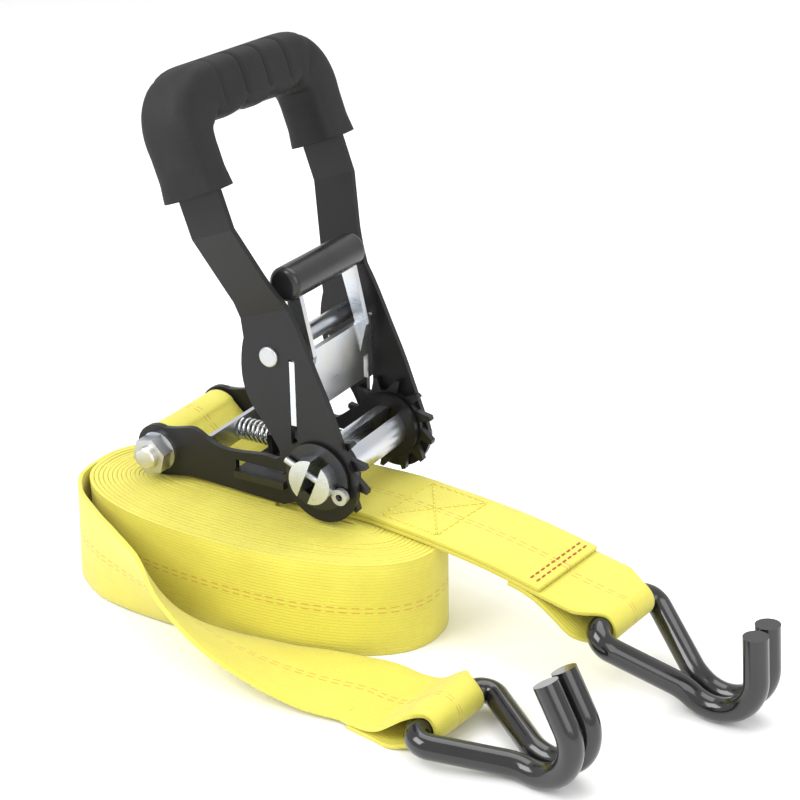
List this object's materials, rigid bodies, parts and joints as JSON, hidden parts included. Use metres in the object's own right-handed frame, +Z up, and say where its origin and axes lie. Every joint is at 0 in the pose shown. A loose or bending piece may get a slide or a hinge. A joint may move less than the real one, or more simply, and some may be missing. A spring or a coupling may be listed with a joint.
{
  "type": "ratchet tie down",
  "caption": "Ratchet tie down: wide-handle ratchet on a rolled yellow strap, with a fixed short strap and double wire hooks on both strap ends.",
  "frame": {"origin": "middle of the rolled strap's flat underside, on the floor", "axes": "+Z up, +X from the ratchet's tail bolt towards its spindle, +Y towards the far side plate"},
  "size_m": [0.3731, 0.1937, 0.2719],
  "materials": {
    "black_paint": "semi-gloss black powder coat",
    "zinc": "bright zinc plate",
    "spring_steel": "bright spring wire",
    "webbing": "woven polyester webbing",
    "grip_rubber": "matt charcoal rubber",
    "black_plastic": "smooth black plastic",
    "hook_vinyl": "glossy black vinyl dip"
  },
  "bodies": {
    "base": {"base_plate_near": "black_paint", "base_plate_far": "black_paint", "tail_bolt": "zinc", "tail_nut": "zinc", "tail_washers": "zinc", "tail_spacer": "zinc", "spring_anchor": "zinc", "base_pawl_spring": "spring_steel", "long_strap_roll": "webbing", "long_strap_tail": "webbing", "short_strap": "webbing"},
    "spindle": {"spindle_half_front": "zinc", "spindle_half_back": "zinc", "gear_near": "zinc", "gear_far": "zinc", "spindle_washers": "zinc", "split_pins": "zinc"},
    "handle": {"handle_arm_near": "black_paint", "handle_arm_far": "black_paint", "handle_tube": "zinc", "handle_rivet": "zinc", "grip_rod": "zinc", "grip_cover": "grip_rubber", "release_spring": "spring_steel"},
    "release": {"release_plate": "zinc", "release_sleeve": "black_plastic"},
    "pawl": {"base_pawl": "zinc"},
    "front_hook": {"front_hook_wire": "zinc", "front_hook_coating": "hook_vinyl"},
    "short_hook": {"short_hook_wire": "zinc", "short_hook_coating": "hook_vinyl"}
  },
  "joints": [
    {"name": "handle_hinge", "type": "hinge", "parent": "base", "child": "handle", "pos_m": [0.0415, 0.0283, 0.077], "axis": [0, -1, 0], "range_deg": [-90, 60]},
    {"name": "spindle_spin", "type": "hinge", "parent": "base", "child": "spindle", "pos_m": [0.0415, 0.0283, 0.077], "axis": [0, -1, 0], "continuous": true},
    {"name": "release_slide", "type": "slide", "parent": "handle", "child": "release", "axis": [0.011, 0, 0.9999], "range_m": [-0.0083, 0], "deforming": ["release_spring"]},
    {"name": "base_pawl_slide", "type": "slide", "parent": "base", "child": "pawl", "axis": [1, 0, 0], "range_m": [0, 0.0085], "deforming": ["base_pawl_spring"]},
    {"name": "front_hook_hinge", "type": "hinge", "parent": "base", "child": "front_hook", "pos_m": [0.144, -0.069, 0.012], "axis": [-0.1564, -0.9877, 0], "range_deg": [0, 50]},
    {"name": "short_hook_hinge", "type": "hinge", "parent": "base", "child": "short_hook", "pos_m": [0.1925, 0.009, 0.035], "axis": [-0.0872, -0.9962, 0], "range_deg": [0, 40]}
  ]
}
